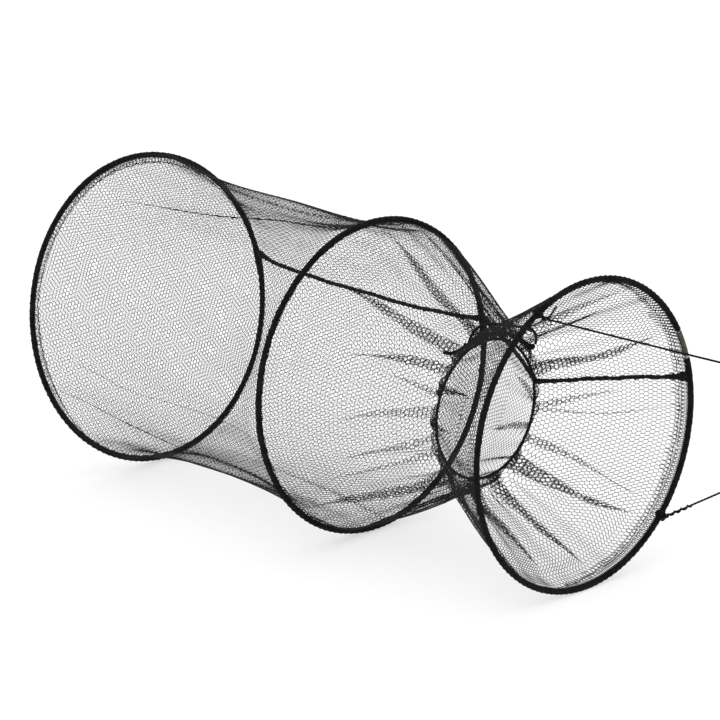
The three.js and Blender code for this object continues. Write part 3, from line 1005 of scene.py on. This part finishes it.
def addFunnel(name, ringA, ringB, look, insetA, insetB, node):
    wall = netWall(ringA, ringB, look, insetA, insetB)
    rows, swings = rowsBetween(wall["start"], wall["end"], wall["widthAt"])
    hemParted = hemParts(wall, insetA > insetB, hemReach(*look["hem"]), look["hemLift"], look["hemYarn"])
    hem = netPiece(name + "Hem", hemParted, hemYarn)
    follow(hem, "middle")
    net = netPiece(name + "Net", netStrands(wall["place"], rows, swings, True, look["yarn"]), netYarn)
    follow(net, "middle")
    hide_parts(node)


baseLook = {
    "edge": 0.001,          # from the middle of the hoop to the end of the net
    "hem": (0.004, 0.0105, [(112, 62), (190, 25)]),
    "hemSpan": (0.0015, 0.0125),
    "hemLayers": ((1, 1.0), (2, 0.8), (3, 0.6)),
    "layerLift": 0.0005,
    "stitchCount": 620,
    "stitchAt": 0.8,        # share of the hem's width
    "stitchRadius": 0.00045,
}


def onBase(x, y, z):  # points beside the base net, and the way out of it
    points = leaned(baseRing, x, y, z)
    lean = baseRing["lean"]
    return points, np.broadcast_to(np.array([-math.cos(lean), 0.0, -math.sin(lean)]), points.shape)


def addBaseNet():
    side = netLook["side"]
    reach = baseRing["radius"] - baseLook["edge"]
    holeWidth = math.sqrt(3) * side
    columns = 2 * int(2 * reach / holeWidth) + 4
    count = int(2 * reach / (1.5 * side)) + 2
    rows = [(k - count / 2) * 1.5 * side for k in range(count)]

    def place(u, s):
        y = (u - columns / 4) * holeWidth
        bow = 0.0016 * np.sin(y * 31 + 0.6) * np.sin(s * 27) + 0.001 * np.sin(y * 67 + s * 40)
        return onBase(bow * np.clip(1 - (y * y + s * s) / reach ** 2, 0, 1), y, s)

    def inside(u, s):
        return np.hypot((u - columns / 4) * holeWidth, s) < reach

    net = netPiece("baseNet", netStrands(place, rows, [side / 4] * len(rows), False, netLook["yarn"], inside,
                                         columns), netYarn)
    hemWidth = hemReach(*baseLook["hem"])
    turns = np.arange(baseLook["stitchCount"])
    angles = 360 * turns / baseLook["stitchCount"]
    out = 0.0004 * np.sin(turns * 0.7) + 0.0004 * (turns % 2) - baseLook["stitchAt"] * hemWidth(angles)
    line = np.array([onRing(baseRing, angle, away, 0.0006) for angle, away in zip(angles, out)])
    parts = [ropeParts(line, baseLook["stitchRadius"], lobes(2, 0.35, 0.004), 6, True)[:3]]
    rimRows, rimSwings = rowsBetween(*baseLook["hemSpan"], lambda s: holeWidth)
    for layer, share in baseLook["hemLayers"]:
        def rim(u, s, layer=layer):
            angle = 2 * math.pi * (u + 0.3 * layer) / netLook["cells"]
            across = baseRing["radius"] - s
            return onBase(baseLook["layerLift"] * layer, across * np.cos(angle), across * np.sin(angle))

        def keep(u, s, share=share, layer=layer):
            ragged = 0.0006 * np.sin(u * 1.3 + layer) + 0.0004 * np.sin(u * 4.3)
            return s < share * hemWidth(360 * u / netLook["cells"]) + ragged

        parts.append(netStrands(rim, rimRows, rimSwings, True, netLook["yarn"], keep))
    hem = netPiece("baseHem", joinStrands(parts), hemYarn)
    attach(hem, "base")
    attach(net, "base")
    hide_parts("base_net")


addBaseNet()
addChamber()
addFunnel("rearFunnel", middleRing, throatRing, rearFunnel, netLook["inset"], netLook["neckInset"],
          "rear_funnel_net")
addFunnel("frontFunnel", throatRing, mouthRing, frontFunnel, netLook["neckInset"], netLook["inset"],
          "front_funnel_net")
print("nets made")


seamLook = {"radius": 0.0022, "lift": 0.0023, "angle": 10.0, "lumpLength": 0.012}


def addSeam(name, node, ringA, ringB, look, endA, endB, lumpA, lumpB):
    a, b = ringA["centre"], ringB["centre"]
    t = np.linspace(0, 1, 260)
    radius = netRadius(ringA, ringB, look, t)
    out = radius + seamLook["lift"] * np.hypot(1, np.gradient(radius, t * (b[0] - a[0])))
    angle = math.radians(seamLook["angle"])
    wander = 0.0003 * np.sin(t * 21 + a[0] * 50) + 0.0002 * np.sin(t * 47)
    rise = out * math.sin(angle) + wander
    line = np.stack([a[0] + (b[0] - a[0]) * t - math.tan(ringA["lean"]) * (1 - t) * rise,
                     a[1] + (b[1] - a[1]) * t + out * math.cos(angle),
                     a[2] + (b[2] - a[2]) * t + rise], 1)
    line = evenLine(line, 0.0008)
    far = travelled(line)
    inside = (far > endA) & (far < far[-1] - endB)
    line, far, left = line[inside], far[inside] - endA, (far[-1] - far)[inside] - endB
    size = 1 + 0.1 * np.sin(far * 900) + 0.09 * np.sin(far * 410 + 1) + 0.07 * np.sin(far * 1730)
    size = seamLook["radius"] * size * (1 + (lumpA - 1) * np.exp(-(far / seamLook["lumpLength"]) ** 2)
                                        + (lumpB - 1) * np.exp(-(left / seamLook["lumpLength"]) ** 2))
    seam = ropePiece(name, [(line, size, lobes(3, 0.24, 0.0062), 12, False)], overlock, "seam")
    follow(seam, "middle")
    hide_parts(node)


addSeam("chamberSeam", "chamber_seam", baseRing, middleRing, chamber, 0.003, 0.003, 1.6, 1.5)
addSeam("rearFunnelSeam", "rear_funnel_seam", middleRing, throatRing, rearFunnel,
        0.003, 0.001, 1.5, 1.3)
addSeam("frontFunnelSeam", "front_funnel_seam", throatRing, mouthRing, frontFunnel,
        0.001, 0.003, 1.3, 2.6)
print("seams made")


studio = {"floorSize": 14.0, "floorColour": (0.55, 0.55, 0.55), "skyStrength": 1.0, "floorGlow": 0.54,
          "keyPower": 8.0, "keySize": 2.4, "keyPlace": (1.2, -2.2, 2.6)}


def addStudio():
    bpy.ops.object.select_all(action="DESELECT")
    bpy.ops.mesh.primitive_plane_add(size=studio["floorSize"], location=(0, 0, -0.0002))
    floor = bpy.context.object
    floor.name = "floor"
    pale = studio["floorColour"]
    material, _, shader = newFinish("paleFloor", roughness=0.9, scale=3, detail=2,
                                    dark=tuple(c * 0.99 for c in pale), light=pale)
    shader.inputs["Emission Color"].default_value = (1, 1, 1, 1)
    shader.inputs["Emission Strength"].default_value = studio["floorGlow"]
    floor.data.materials.append(material)
    world = bpy.data.worlds.new("studioSky")
    world.use_nodes = True
    world.node_tree.nodes["Background"].inputs["Color"].default_value = (1, 1, 1, 1)
    world.node_tree.nodes["Background"].inputs["Strength"].default_value = studio["skyStrength"]
    bpy.context.scene.world = world
    place = Vector(studio["keyPlace"])
    bpy.ops.object.light_add(type="AREA", location=place, rotation=place.to_track_quat("Z", "Y").to_euler())
    key = bpy.context.object
    key.name = "keyLight"
    key.data.energy = studio["keyPower"]
    key.data.size = studio["keySize"]
    bpy.context.scene.view_settings.view_transform = "Standard"


addStudio()
print("studio made")
